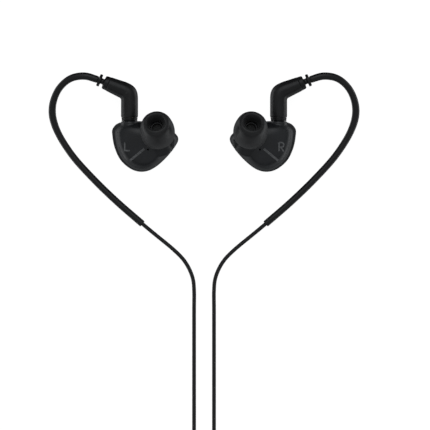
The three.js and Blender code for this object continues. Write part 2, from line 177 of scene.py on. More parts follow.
def make_studio():
    """A softbox at each side, and a room that glows overhead, low at sides and front, and high behind."""
    for side, sign in zip(SIDES, (-1, 1)):
        make_softbox(f"{side}_softbox", (sign * SOFTBOX_REACH, 0, SOFTBOX_HEIGHT))
    world = bpy.data.worlds.new("room")
    bpy.context.scene.world = world
    world.use_nodes = True
    room = Nodes(world.node_tree)
    x, y, z = room.node("SeparateXYZ", {0: room.node("TexCoord").outputs["Generated"]}).outputs
    overhead = room.span(z, 0.25, 0.6, 0.0, OVERHEAD, "SMOOTHSTEP")
    sides = room.maths("MULTIPLY", room.maths("MULTIPLY", x, x), SIDE_GLOW)
    front = room.span(y, -0.2, -1.0, 0.0, FRONT_GLOW, "SMOOTHSTEP")
    near_floor = room.span(z, 0.05, 0.35, 1.0, 0.0, "SMOOTHSTEP")
    low = room.maths("MULTIPLY", room.maths("ADD", sides, front), near_floor)
    back = room.maths("ADD", room.maths("MULTIPLY", y, 0.6), room.maths("MULTIPLY", z, 0.8))
    panel = room.span(back, 0.84, 0.97, 0.0, BACK_PANEL, "SMOOTHSTEP")
    background = world.node_tree.nodes["Background"]
    background.inputs["Color"].default_value = (0.94, 0.97, 1.0, 1)
    room.join(room.maths("ADD", room.maths("ADD", overhead, low), panel), background.inputs["Strength"])
    bpy.context.scene.view_settings.view_transform = "Standard"


# -------------------- shape helpers
def smooth_route(points, spacing):
    """Points along the same centripetal curve that the CAD follows, about spacing apart."""
    points = [Vector(p) for p in points]
    points = [2 * points[0] - points[1], *points, 2 * points[-1] - points[-2]]
    made = []
    for p0, p1, p2, p3 in zip(points, points[1:], points[2:], points[3:]):
        d0, d1, d2 = (max((b - a).length, 1e-4) ** 0.5 for a, b in ((p0, p1), (p1, p2), (p2, p3)))
        start = (p1 - p0) / d0 - (p2 - p0) / (d0 + d1) + (p2 - p1) / d1
        end = (p2 - p1) / d1 - (p3 - p1) / (d1 + d2) + (p3 - p2) / d2
        start, end = start * d1, end * d1
        steps = max(2, round((p2 - p1).length / spacing))
        for i in range(steps):
            t = i / steps
            made.append(p1 * (2 * t**3 - 3 * t**2 + 1) + start * (t**3 - 2 * t**2 + t)
                        + p2 * (3 * t**2 - 2 * t**3) + end * (t**3 - t**2))
    made.append(points[-2])
    return made


def closed_outline(count):
    """The housing's outline as a closed smooth curve of count points about its centre."""
    made = []
    corners = [Vector((x, y, 0)) for x, y in OUTLINE]
    total, fine_steps = len(corners), 24
    fine = []
    for i in range(total):
        p0, p1, p2, p3 = (corners[(i + k) % total] for k in (-1, 0, 1, 2))
        for step in range(fine_steps):
            t = step / fine_steps
            fine.append(0.5 * (2 * p1 + (p2 - p0) * t + (2 * p0 - 5 * p1 + 4 * p2 - p3) * t * t
                               + (3 * p1 - p0 - 3 * p2 + p3) * t**3))
    lengths = [0.0]
    for a, b in zip(fine, fine[1:] + fine[:1]):
        lengths.append(lengths[-1] + (b - a).length)
    for i in range(count):
        want = lengths[-1] * i / count
        k = next(j for j in range(len(fine)) if lengths[j + 1] > want)
        share = (want - lengths[k]) / (lengths[k + 1] - lengths[k])
        made.append(fine[k].lerp(fine[(k + 1) % len(fine)], share))
    return made


def hollow(rings):
    """A bmesh over rings that run along the outside and back along the inside."""
    made = skin([*rings, rings[0]], closed=False)
    bmesh.ops.remove_doubles(made, verts=made.verts, dist=1e-5)
    return made


def between(rows, steps):
    """Rows of numbers made finer by a smooth curve through them."""
    made = []
    for i in range(len(rows) - 1):
        p0, p1, p2, p3 = rows[max(i - 1, 0)], rows[i], rows[i + 1], rows[min(i + 2, len(rows) - 1)]
        for step in range(steps):
            t = step / steps
            made.append([b + 0.5 * t * (c - a + t * (2 * a - 5 * b + 4 * c - d + t * (3 * (b - c) + d - a)))
                         for a, b, c, d in zip(p0, p1, p2, p3)])
    made.append(list(rows[-1]))
    return made


def skin(rings, closed=True, into=None):
    """A bmesh over rings of equally many points, added to into if given; closed fills both ends."""
    made = bmesh.new() if into is None else into
    loops = [[made.verts.new(p) for p in ring] for ring in rings]
    count = len(rings[0])
    for lower, upper in zip(loops, loops[1:]):
        for i in range(count):
            j = (i + 1) % count
            made.faces.new((lower[i], lower[j], upper[j], upper[i]))
    if closed:
        made.faces.new(loops[0][::-1])
        made.faces.new(loops[-1])
    bmesh.ops.recalc_face_normals(made, faces=made.faces)
    return made


def frames_along(points):
    """For each point, two directions across the route that don't twist along it."""
    ways = [(b - a).normalized() for a, b in zip(points, points[1:])]
    ways.append(ways[-1])
    side = ways[0].orthogonal().normalized()
    frames = []
    for before, way in zip([ways[0], *ways], ways):
        middle = (before + way).normalized()
        side = (side - middle * side.dot(middle)).normalized()
        frames.append((side, middle.cross(side)))
    return frames


def circle(count):
    """The cosine and sine of count even steps round."""
    angles = [2 * math.pi * i / count for i in range(count)]
    return [(math.cos(a), math.sin(a)) for a in angles]


def rings_along(points, radii, sides):
    """A ring round the route at each of its points."""
    return [[p + (a * c + b * s) * r for c, s in circle(sides)]
            for p, r, (a, b) in zip(points, radii, frames_along(points))]


def rounded(profile, radius=0.08, steps=3):
    """The profile with small arcs for corners; the two ends of an open one stay."""
    made = []
    closed = (Vector(profile[0]) - Vector(profile[-1])).length < 1e-6
    points = [Vector(p) for p in (profile[:-1] if closed else profile)]
    for i, point in enumerate(points):
        if not closed and i in (0, len(points) - 1):
            made.append(point)
            continue
        before, after = points[i - 1], points[(i + 1) % len(points)]
        reach = min(radius, 0.4 * (point - before).length, 0.4 * (after - point).length)
        start = point + (before - point).normalized() * reach
        end = point + (after - point).normalized() * reach
        for step in range(steps + 1):
            t = step / steps
            made.append(start * (1 - t) ** 2 + point * 2 * t * (1 - t) + end * t * t)
    if closed:
        made.append(made[0])
    return made


def turned(profile, foot=Vector(), way=Vector((0, 1, 0)), sides=72):
    """A profile of (radius, height) points turned about the line from foot along way."""
    made = bmesh.new()
    turn = Vector((0, 0, 1)).rotation_difference(way)
    closed = (Vector(profile[0]) - Vector(profile[-1])).length < 1e-6
    loops = []
    for radius, height in (profile[:-1] if closed else profile):
        if radius < 1e-6:
            loops.append([made.verts.new(foot + turn @ Vector((0, 0, height)))])
            continue
        loops.append([made.verts.new(foot + turn @ Vector((radius * c, radius * s, height)))
                      for c, s in circle(sides)])
    pairs = zip(loops, loops[1:] + loops[:1]) if closed else zip(loops, loops[1:])
    for lower, upper in pairs:
        for i in range(sides):
            j = (i + 1) % sides
            corners = [(lower, i), (lower, j), (upper, j), (upper, i)]
            face = list(dict.fromkeys(loop[k % len(loop)] for loop, k in corners))
            if len(face) > 2:
                made.faces.new(face)
    bmesh.ops.recalc_face_normals(made, faces=made.faces)
    return made


def tube_profile(inner, outer, low, high):
    return [(inner, low), (outer, low), (outer, high), (inner, high), (inner, low)]


def rod_profile(radius, low, high):
    return [(0, low), (radius, low), (radius, high), (0, high)]


def to_object(name, shape, sharp=40):
    """A Blender object in metres from a bmesh in millimetres, which is freed."""
    bmesh.ops.scale(shape, vec=(MM, MM, MM), verts=shape.verts)
    for edge in shape.edges:
        edge.smooth = not (len(edge.link_faces) == 2 and edge.calc_face_angle(0) > math.radians(sharp))
    for face in shape.faces:
        face.smooth = True
    data = bpy.data.meshes.new(name)
    shape.to_mesh(data)
    shape.free()
    return new_object(name, data)


def apply_modifiers(piece):
    """Puts the modified mesh in place of the piece's own."""
    graph = bpy.context.evaluated_depsgraph_get()
    data = bpy.data.meshes.new_from_object(piece.evaluated_get(graph))
    piece.modifiers.clear()
    piece.data = data


def combine(piece, other, operation):
    """A boolean with a throwaway second object."""
    step = piece.modifiers.new("combine", "BOOLEAN")
    step.object, step.operation, step.solver = other, operation, "EXACT"
    apply_modifiers(piece)
    bpy.data.objects.remove(other)


def mirror_of(shape):
    """The other side's copy of a bmesh."""
    copy = shape.copy()
    bmesh.ops.scale(copy, vec=(-1, 1, 1), verts=copy.verts)
    bmesh.ops.reverse_faces(copy, faces=copy.faces)
    return copy


def settle(piece, body, material, *nodes):
    """Gives a piece its material and body, and lets it stand for its CAD nodes."""
    slot, look = material
    piece.data.materials.clear()
    piece.data.materials.append(look)
    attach(piece, body)
    if nodes:
        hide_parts(*nodes)
    return piece


def both_sides(name, shape, body, material, sharp=40):
    """The left piece and its mirror image; body and name are completed with the side's name."""
    made = []
    for side in SIDES:
        copy = shape.copy() if side == "left" else mirror_of(shape)
        piece = to_object(f"{side}_{name}_piece", copy, sharp)
        body_name = body if body in frame["bodies"] else f"{side}_{body}"
        made.append(settle(piece, body_name, material, f"{side}_{name}"))
    shape.free()
    return made


# -------------------- materials
class Nodes:
    """Short ways of adding nodes to a tree."""

    def __init__(self, tree):
        self.tree = tree

    def join(self, value, socket):
        self.tree.links.new(value, socket)

    def node(self, kind, inputs=(), **settings):
        made = self.tree.nodes.new(f"ShaderNode{kind}")
        for key, value in settings.items():
            setattr(made, key, value)
        for key, value in dict(inputs).items():
            if isinstance(value, bpy.types.NodeSocket):
                self.join(value, made.inputs[key])
            else:
                made.inputs[key].default_value = value
        return made

    def span(self, value, low, high, to_low=0.0, to_high=1.0, curve="LINEAR"):
        return self.node("MapRange", {"Value": value, "From Min": low, "From Max": high, "To Min": to_low,
                                      "To Max": to_high}, interpolation_type=curve).outputs[0]

    def maths(self, operation, first, second):
        return self.node("Math", {0: first, 1: second}, operation=operation).outputs[0]


class Look(Nodes):
    """A procedural material over the piece's own coordinates; sizes are in millimetres."""

    def __init__(self, name, **constants):
        self.material = bpy.data.materials.new(name)
        self.material.use_nodes = True
        super().__init__(self.material.node_tree)
        self.shader = self.tree.nodes["Principled BSDF"]
        for socket, value in constants.items():
            self.shader.inputs[socket.replace("_", " ")].default_value = value
        self.place = self.node("TexCoord").outputs["Object"]
        self.height = None

    def noise(self, size, detail=3, scale=(1, 1, 1), distortion=0.0):
        place = self.node("Mapping", {"Vector": self.place, "Scale": scale}).outputs[0]
        return self.node("TexNoise", {"Vector": place, "Scale": 1 / (size * MM), "Detail": detail,
                                      "Distortion": distortion}).outputs["Fac"]

    def specks(self, spacing, share):
        """1 on small dots about spacing apart, 0 elsewhere."""
        cells = self.node("TexVoronoi", {"Vector": self.place, "Scale": 1 / (spacing * MM)})
        return self.span(cells.outputs["Distance"], share, share * 0.6, 0, 1)

    def waves(self, size, direction, distortion=0.0):
        inputs = {"Vector": self.place, "Scale": WAVE_REPEAT / (size * MM), "Distortion": distortion,
                  "Detail": 1.0}
        return self.node("TexWave", inputs, bands_direction=direction).outputs["Fac"]

    def edges(self, low=0.52, high=0.6):
        """1 on worn outward edges."""
        return self.span(self.node("NewGeometry").outputs["Pointiness"], low, high)

    def mix(self, factor, first, second):
        pick = self.node("Mix", {"Factor": factor}, data_type="RGBA")
        for slot, value in ((6, first), (7, second)):
            if isinstance(value, bpy.types.NodeSocket):
                self.join(value, pick.inputs[slot])
            else:
                pick.inputs[slot].default_value = (*value, 1)
        return pick.outputs[2]

    def colour(self, value):
        self.join(value, self.shader.inputs["Base Color"])

    def rough(self, value):
        self.join(value, self.shader.inputs["Roughness"])

    def uneven(self, size, detail, low, high, scale=(1, 1, 1)):
        """Roughness that wanders between low and high."""
        self.rough(self.span(self.noise(size, detail, scale), 0.3, 0.7, low, high))

    def relief(self, value, depth):
        """Adds a bump of that depth, in millimetres."""
        bump = self.node("Bump", {"Height": value, "Distance": depth * MM, "Strength": 1.0})
        if self.height is not None:
            self.join(self.height, bump.inputs["Normal"])
        self.height = bump.outputs[0]
        self.join(self.height, self.shader.inputs["Normal"])


def gloss_shell():
    look = Look("gloss_shell", Coat_Weight=0.22, Coat_Roughness=0.15, IOR=1.5)
    cloud = look.noise(6, 4)
    dust = look.specks(1.1, 0.035)
    body = look.mix(look.span(cloud, 0.35, 0.65), (0.0135, 0.0145, 0.0165), (0.020, 0.0215, 0.0245))
    worn = look.mix(look.maths("MULTIPLY", look.edges(0.53, 0.62), 0.35), body, (0.06, 0.062, 0.066))
    look.colour(look.mix(look.maths("MULTIPLY", dust, 0.5), worn, (0.12, 0.12, 0.12)))
    handled = look.span(look.noise(2.2, 8, distortion=0.6), 0.35, 0.7, 0.28, 0.4)
    look.rough(look.maths("MAXIMUM", handled, look.maths("MULTIPLY", dust, 0.6)))
    look.relief(look.noise(1.4, 2), 0.006)
    look.relief(look.noise(0.12, 2, scale=(1, 0.06, 1)), 0.0008)
    return look.material


def silicone():
    look = Look("silicone_tip", Sheen_Weight=0.12, Sheen_Roughness=0.4, IOR=1.43)
    lint = look.specks(0.9, 0.04)
    body = look.mix(look.span(look.noise(3, 4), 0.35, 0.65), (0.020, 0.020, 0.0205), (0.028, 0.028, 0.029))
    look.colour(look.mix(look.maths("MULTIPLY", lint, 0.6), body, (0.13, 0.125, 0.12)))
    look.uneven(0.7, 6, 0.28, 0.4)
    look.relief(look.noise(0.25, 4), 0.004)
    look.relief(look.noise(3.0, 1), 0.02)
    return look.material


def moulded(name, dark, light, rough, grain=0.12, depth=0.004):
    """Moulded plastic or rubber with a fine eroded grain."""
    look = Look(name, IOR=1.48)
    body = look.mix(look.span(look.noise(4, 4), 0.35, 0.65), dark, light)
    worn = tuple(3 * v + 0.01 for v in light)
    look.colour(look.mix(look.maths("MULTIPLY", look.edges(), 0.4), body, worn))
    look.uneven(0.9, 6, rough - 0.06, rough + 0.08)
    look.relief(look.noise(grain, 3), depth)
    look.relief(look.specks(0.8, 0.05), 0.004)
    return look.material


def jacket(name, rough, ripple):
    """An extruded sleeve: smooth, with faint lengthwise unevenness and scuffs."""
    look = Look(name, IOR=1.5)
    scuff = look.span(look.noise(1.8, 8), 0.55, 0.75)
    body = look.mix(look.noise(5, 3), (0.0075, 0.0075, 0.008), (0.012, 0.012, 0.0125))
    look.colour(look.mix(look.maths("MULTIPLY", scuff, 0.25), body, (0.03, 0.03, 0.031)))
    look.uneven(0.8, 6, rough - 0.07, rough + 0.09)
    look.relief(look.noise(ripple, 3), 0.012)
    look.relief(look.noise(0.09, 2), 0.0015)
    return look.material


def plated():
    look = Look("gold_plating", Metallic=1.0)
    body = look.mix(look.span(look.noise(1.2, 5), 0.35, 0.7), (0.83, 0.60, 0.25), (0.93, 0.72, 0.36))
    look.colour(look.mix(look.maths("MULTIPLY", look.edges(), 0.5), body, (0.97, 0.84, 0.55)))
    look.uneven(0.5, 6, 0.14, 0.30, scale=(1, 12, 1))
    look.relief(look.waves(0.06, "Y", distortion=0.4), 0.0008)
    return look.material


def brushed(name, tint, rough):
    look = Look(name, Metallic=1.0)
    look.colour(look.mix(look.noise(1.5, 5), tint, tuple(v * 0.75 for v in tint)))
    look.uneven(0.3, 6, rough - 0.08, rough + 0.12, scale=(1, 14, 1))
    look.relief(look.noise(0.05, 2, scale=(1, 0.05, 1)), 0.0008)
    return look.material


def woven_screen():
    """A fine wire cloth, seen as crossed wires over holes painted near black as painted shade of the bore
    behind.
    """
    look = Look("woven_screen", Metallic=0.5)
    across = look.waves(0.24, "X")
    along = look.waves(0.24, "Y")
    wires = look.maths("MAXIMUM", across, along)
    # the holes' near-black is painted shade: it stands for the dark bore seen through the cloth
    look.colour(look.mix(look.span(wires, 0.55, 0.8), (0.002, 0.002, 0.002), (0.035, 0.035, 0.034)))
    look.uneven(0.4, 4, 0.3, 0.5)
    look.relief(wires, 0.03)
    return look.material


def pale_insulator():
    look = Look("pale_insulator", IOR=1.38, Subsurface_Weight=0.05)
    look.colour(look.mix(look.noise(1.0, 4), (0.78, 0.76, 0.70), (0.86, 0.84, 0.79)))
    look.uneven(0.4, 5, 0.4, 0.55)
    look.relief(look.noise(0.1, 3), 0.002)
    return look.material


def circuit_board():
    """Green solder mask with a few pale tracks under it."""
    look = Look("circuit_board", Coat_Weight=0.3)
    black, white = (0, 0, 0, 1), (1, 1, 1, 1)
    bricks = {"Vector": look.place, "Scale": 900, "Mortar Size": 0.06, "Color1": black, "Color2": black,
              "Mortar": white}
    tracks = look.node("TexBrick", bricks).outputs["Color"]
    mask = look.mix(look.noise(2, 4), (0.012, 0.075, 0.03), (0.018, 0.11, 0.045))
    look.colour(look.mix(tracks, mask, (0.05, 0.2, 0.08)))
    look.uneven(0.7, 5, 0.25, 0.4)
    look.relief(tracks, 0.02)
    return look.material


def strap_cloth():
    """A woven hook-and-loop strap with a fuzzy face."""
    look = Look("strap_cloth", Sheen_Weight=0.4, Sheen_Roughness=0.5)
    weave = look.maths("MULTIPLY", look.waves(0.4, "X"), look.waves(0.4, "Z"))
    fuzz = look.noise(0.18, 6)
    look.colour(look.mix(look.maths("MULTIPLY", fuzz, weave), (0.006, 0.006, 0.007), (0.045, 0.045, 0.048)))
    look.rough(look.span(fuzz, 0.3, 0.7, 0.75, 0.95))
    look.relief(weave, 0.05)
    look.relief(fuzz, 0.04)
    return look.material


def printed_ink():
    """Grey pad-printed ink, a little worn."""
    look = Look("printed_ink", IOR=1.45)
    worn = look.span(look.noise(0.35, 6), 0.42, 0.62)
    look.colour(look.mix(worn, (0.12, 0.122, 0.125), (0.2, 0.202, 0.205)))
    look.uneven(0.5, 4, 0.4, 0.6)
    look.relief(look.noise(0.1, 3), 0.002)
    return look.material


SHELL = ("shell", gloss_shell())
SILICONE = ("ear_tip", silicone())
NOZZLE = ("nozzle", moulded("nozzle_plastic", (0.012, 0.012, 0.013), (0.018, 0.018, 0.019), 0.3))
SCREEN = ("screen_mesh", woven_screen())
PLUG = ("plug_moulding", moulded("plug_moulding", (0.0095, 0.0095, 0.010), (0.014, 0.014, 0.0145), 0.33))
COLLAR = ("plug_collar", moulded("plug_collar", (0.005, 0.005, 0.0055), (0.008, 0.008, 0.0085), 0.35))
HOOK = ("hook_sleeve", jacket("hook_sleeve", 0.3, 1.5))
JACKET = ("cable_jacket", jacket("cable_jacket", 0.42, 0.8))
GOLD = ("plated_contact", plated())
SPRING = ("spring_steel", brushed("spring_steel", (0.62, 0.60, 0.56), 0.28))
CAN = ("driver_can", brushed("driver_can", (0.52, 0.52, 0.53), 0.35))
BOARD = ("circuit_board", circuit_board())
INSULATOR = ("insulator", pale_insulator())
BLACK_INSULATOR = ("jack_insulator", moulded("black_insulator", (0.01, 0.01, 0.01), (0.02, 0.02, 0.02), 0.4))
SLIDER = ("slider", moulded("slider_plastic", (0.01, 0.01, 0.0105), (0.016, 0.016, 0.017), 0.4))
SPLIT = ("split_moulding",
         moulded("split_rubber", (0.01, 0.01, 0.0105), (0.017, 0.017, 0.018), 0.5, 0.2, 0.01))
JACK = ("jack_moulding", moulded("jack_plastic", (0.011, 0.011, 0.0115), (0.018, 0.018, 0.019), 0.38))
STRAP = ("strap", strap_cloth())
INK = ("shell", printed_ink())


# -------------------- cords
def ease(value):
    value = min(max(value, 0.0), 1.0)
    return value * value * (3 - 2 * value)


def wound(coil, turns, spacing):
    """The cable's line through a coil, wound clockwise from the coil's right side."""
    centre_x, centre_y = coil["centre"]
    slots = coil["turns"]
    # Shares of a turn: where the tie is, and half of the stretches that change lane and pass over the tie.
    tie_at, shift, over = 0.75, 0.09, 0.17
    lift = TIE_THICKNESS + 0.1
    count = round(2 * math.pi * coil["radius"] * turns / spacing)
    made = []
    for i in range(count + 1):
        done = turns * i / count
        turn = min(int(done), len(slots) - 1)
        here, there = slots[turn], slots[min(turn + 1, len(slots) - 1)]
        share = ease((done - turn - tie_at + shift) / (2 * shift))
        radius = coil["radius"] + here[0] + (there[0] - here[0]) * share
        over_tie = ease(1 - abs(done - turn - tie_at) / over)
        height = here[1] + (there[1] - here[1]) * share + lift * over_tie
        angle = -2 * math.pi * done
        x, y = centre_x + radius * math.cos(angle), centre_y + radius * math.sin(angle)
        made.append(Vector((x, y, height)))
    return made


def cord_curve(name, points, radius):
    data = bpy.data.curves.new(name, "CURVE")
    data.dimensions = "3D"
    data.bevel_depth = radius * MM
    data.bevel_resolution = 4
    data.use_fill_caps = True
    line = data.splines.new("POLY")
    line.points.add(len(points) - 1)
    for slot, point in zip(line.points, points):
        slot.co = (*(point * MM), 1)
    line.use_smooth = True
    return new_object(name, data)


def branch_points():
    """The left branch's line, from the hook sleeve through its coil to the Y-split."""
    out = smooth_route(BRANCH_ROUTE, 0.8)
    entry = [Vector(point) for point in BRANCH_ENTRY]
    coil = wound(BRANCH_COIL, len(BRANCH_COIL["turns"]), 0.7)
    leaving = coil[-1]
    hump = [leaving, leaving + Vector((0, -3.4, 0.28)), *BRANCH_END_ROUTE]
    return out + entry + coil[:-1] + smooth_route(hump, 0.8)


def main_points():
    """The main cable's line; it leaves its coil a quarter of the way round the last turn."""
    out = smooth_route(MAIN_ROUTE, 1.0)
    entry = [Vector(point) for point in MAIN_ENTRY]
    coil = wound(MAIN_COIL, len(MAIN_COIL["turns"]) - 0.75, 1.0)
    leaving = coil[-1]
    tail = [leaving, leaving + Vector((-5, 0, 0.35)), *TAIL_ROUTE]
    return out + entry + coil[:-1] + smooth_route(tail, 1.0)


def make_cords():
    left = branch_points()
    for side, sign in zip(SIDES, (1, -1)):
        points = [Vector((sign * p.x, p.y, p.z)) for p in left]
        cable = cord_curve(f"{side}_branch_cable", points, BRANCH_RADIUS)
        settle(cable, "cable_harness", JACKET, f"{side}_cable", f"{side}_cable_coil", f"{side}_cable_end")
    points = main_points()
    cable = cord_curve("main_cable_piece", points, MAIN_RADIUS)
    settle(cable, "cable_harness", JACKET, "main_cable", "main_cable_coil", "main_cable_end")


# -------------------- pieces on the cords
def coil_tie(name, coil, side=1):
    """A strap round one side of a coil, with its free end lapped over the top."""
    centre_x, centre_y = coil["centre"]
    width = coil["tie_width"]
    slack, head_room, rim, lap_rise, lap_thickness = 0.3, 1.0, 0.12, 0.55, 0.5
    inner = math.sqrt((coil["radius"] - coil["half_width"]) ** 2 - (width / 2) ** 2) - slack
    outer = coil["radius"] + coil["half_width"] + slack
    middle, half = (inner + outer) / 2, (outer - inner) / 2
    top = coil["height"] + head_room
    corner = min(1.1, top / 3)
    arcs = ((half - corner, corner, -90), (half - corner, top - corner, 0),
            (-half + corner, top - corner, 90), (-half + corner, corner, 180))
    line = []
    for x, z, start in arcs:
        for step in range(9):
            angle = math.radians(start + 90 * step / 8)
            line.append((x + corner * math.cos(angle), z + corner * math.sin(angle)))
    lap = [(x, top + lap_rise) for x in (half * 0.5, 0.0, -half * 0.55)]
    bands = [(line + [line[0]], TIE_THICKNESS), (lap, lap_thickness)]
    made = bmesh.new()
    for path, thickness in bands:
        closed = path[0] == path[-1]
        path = path[:-1] if closed else path
        count = len(path)
        loops = []
        for i, (x, z) in enumerate(path):
            before = path[i - 1 if closed or i else 0]
            after = path[(i + 1) % count if closed or i < count - 1 else i]
            way = Vector((after[0] - before[0], after[1] - before[1])).normalized()
            inward = Vector((-way.y, way.x)) * (thickness if closed else -thickness)
            section = ((0, -width / 2 + rim), (0, width / 2 - rim), (rim, width / 2), (1 - rim, width / 2),
                       (1, width / 2 - rim), (1, -width / 2 + rim), (1 - rim, -width / 2), (rim, -width / 2))
            loops.append([made.verts.new((side * (centre_x + u), centre_y + middle + x + inward.x * v,
                                          z + inward.y * v)) for v, u in section])
        pairs = zip(loops, loops[1:] + loops[:1]) if closed else zip(loops, loops[1:])
        for lower, upper in pairs:
            for k in range(len(lower)):
                m = (k + 1) % len(lower)
                made.faces.new((lower[k], lower[m], upper[m], upper[k]))
        if not closed:
            made.faces.new(loops[0])
            made.faces.new(loops[-1][::-1])
    bmesh.ops.recalc_face_normals(made, faces=made.faces)
    return settle(to_object(f"{name}_piece", made, 50), "cable_harness", STRAP, name)


def oval(half_width, half_height, count=40):
    """A stadium-shaped ring of points."""
    flat = half_width - half_height
    return [((flat if c > 1e-9 else -flat) + half_height * c, half_height * s) for c, s in circle(count)]


def chin_slider():
    """An oval bead with two raised grip bands."""
    middle, half_length, half_width, half_height = -156.5, 4.0, 3.5, 1.8
    slot_half_width, slot_half_height = 2.6, 1.0
    # Place along the bead and drop below its full size.
    outline = [(-3.75, 0.45), (-3.2, 0.0), (-2.6, 0.0), (-2.3, 0.12), (-1.9, 0.12), (-1.6, 0.0), (1.6, 0.0),
               (1.9, 0.12), (2.3, 0.12), (2.6, 0.0), (3.2, 0.0), (3.75, 0.45)]
    outline = [(-half_length, 0.75), *outline, (half_length, 0.75)]
    sections = [(y, oval(half_width - drop, half_height - drop)) for y, drop in outline]
    sections += [(y, oval(slot_half_width, slot_half_height)) for y in (half_length, -half_length)]
    rings = [[Vector((x, middle + y, half_height + z)) for x, z in section] for y, section in sections]
    return settle(to_object("chin_slider_piece", hollow(rings), 50), "slider", SLIDER, "chin_slider")


def y_split():
    """A soft moulding that narrows from the pair of cables to the single one, with grip ribs."""
    rows = [(-161.95, 2.9, 1.15), (-162.4, 3.4, 1.6), (-163.2, 3.6, 1.85), (-166.0, 3.6, 1.9),
            (-169.0, 3.35, 1.9), (-171.5, 2.8, 1.85), (-174.0, 2.25, 1.75), (-176.6, 1.95, 1.7),
            (-177.6, 1.8, 1.6), (-178.05, 1.4, 1.25)]
    middle_height, depth, spacing, first, last = 1.9, 0.16, 1.3, -164.4, -168.3
    rings = []
    for y, half_width, half_height in between(rows, 5):
        groove = depth * max(0.0, math.cos((y + 167.0) * 2 * math.pi / spacing)) if last < y < first else 0.0
        section = oval(half_width - groove, half_height - groove, 48)
        rings.append([Vector((x, y, middle_height + z)) for x, z in section])
    return settle(to_object("y_split_piece", skin(rings), 50), "cable_harness", SPLIT, "y_split")


def jack_plug():
    """The strain relief, handle and three-pole pin, turned about one axis."""
    foot_radius, taper, ridge, groove = 1.45, 0.0942, 0.22, 0.12
    rings = [(foot_radius + taper * h + (ridge if step % 2 else -groove), h) for step, h in
             enumerate([0.9 + 0.55 * k for k in range(14)])]
    relief = [(0, 0), (1.3, 0), (foot_radius, 0.25), *rings, (2.3, 8.9), (0, 8.9)]
    radius, grip_depth, grip_step = 3.4, 0.13, 0.45
    grips = [(radius - (grip_depth if step % 2 else 0), 13.5 + grip_step * step) for step in range(23)]
    handle = [(0, 9.2), (2.6, 9.2), (radius, 10.1), *grips, (radius, 26.6), (3.0, 27.3), (2.05, 27.3),
              (2.05, 25.3), (0, 25.3)]
    insulator = [(0.7, 25.8), (1.2, 25.8), (1.2, 34.95), (1.7, 34.95), (1.7, 35.55), (1.2, 35.55),
                 (1.2, 37.65), (1.7, 37.65), (1.7, 38.25), (0.7, 38.25), (0.7, 25.8)]
    tip = [(0, 25.6), (0.55, 25.6), (0.55, 38.3), (1.62, 38.3), (1.5, 38.6), (1.12, 39.05), (1.5, 39.5),
           (1.72, 39.9), (1.6, 40.3), (1.2, 40.95), (0.6, 41.3), (0, 41.4)]
    parts = [
        ("jack_strain_relief", relief, JACK, 0.09), ("jack_handle", handle, JACK, 0.07),
        ("jack_sleeve", tube_profile(1.35, 1.75, 25.6, 34.9), GOLD, 0.05),
        ("jack_ring", tube_profile(1.35, 1.75, 35.6, 37.6), GOLD, 0.05),
        ("jack_insulator", insulator, BLACK_INSULATOR, 0.03), ("jack_tip", tip, GOLD, 0.12),
    ]
    made = []
    for name, profile, look, fillet in parts:
        piece = to_object(f"{name}_piece", turned(rounded(profile, fillet), JACK_FOOT))
        made.append(settle(piece, "cable_harness", look, name))
    return made


# -------------------- housing
def housing_rings(sections, count=140, steps=7):
    outline = closed_outline(count)
    return [[CENTRE + Vector((dx, dy, z)) + p * scale for p in outline]
            for z, scale, dx, dy in between(sections, steps)]


def along_nozzle(profile, fillet=0.1):
    return turned(rounded(profile, fillet), TIP_CENTRE, NOZZLE_WAY, 64)


def along_axis(profile, fillet=0.08):
    return turned(rounded(profile, fillet), AXIS, sides=64)


def box_shape(low, high):
    shape = bmesh.new()
    bmesh.ops.create_cube(shape, size=1)
    low, high = Vector(low), Vector(high)
    for vertex in shape.verts:
        vertex.co = Vector(l + (h - l) * (c + 0.5) for l, h, c in zip(low, high, vertex.co))
    return shape


def melt(piece, grain=0.2, passes=10, face_from=None, face_passes=120):
    """Turns a rough union into one even skin with soft joins, softer still above the height face_from."""
    # The socket's mouth isn't softened again, so that it keeps its shape.
    fade, mouth_y, mouth_radius, mouth_depth, mouth_fade = 1.5, 6.5, 4.2, 2, 0.8
    remesh = piece.modifiers.new("even", "REMESH")
    remesh.mode, remesh.voxel_size = "VOXEL", grain * MM
    soften = piece.modifiers.new("soften", "SMOOTH")
    soften.factor, soften.iterations = 0.5, passes
    apply_modifiers(piece)
    if face_from is None:
        return
    face = piece.vertex_groups.new(name="face")
    for vertex in piece.data.vertices:
        away = (vertex.co / MM - AXIS).xz.length
        keep = ease((vertex.co.y / MM - mouth_y) / mouth_depth) * ease((mouth_radius - away) / mouth_fade)
        face.add([vertex.index], ease((vertex.co.z / MM - face_from) / fade) * (1 - keep), "REPLACE")
    soften = piece.modifiers.new("soften_face", "SMOOTH")
    soften.factor, soften.iterations, soften.vertex_group = 0.5, face_passes, "face"
    apply_modifiers(piece)


def shape_of(piece):
    """The piece's mesh as a bmesh in millimetres; the piece itself goes."""
    shape = bmesh.new()
    shape.from_mesh(piece.data)
    bmesh.ops.scale(shape, vec=(1 / MM, 1 / MM, 1 / MM), verts=shape.verts)
    bpy.data.objects.remove(piece)
    return shape


def socket_boss():
    """The round rise that holds the socket, with a long nose that fades into the housing."""
    return turned([(0, -4), (1.1, -3.6), (2.0, -2.4), (2.7, -0.4), (3.05, 2.0), (3.2, 5.0), (3.2, 9.1),
                   (2.9, 9.55), (0, 9.55)], AXIS)


def socket_bore():
    return to_object("socket_bore", turned(rod_profile(2.5, 4.1, 12), AXIS))


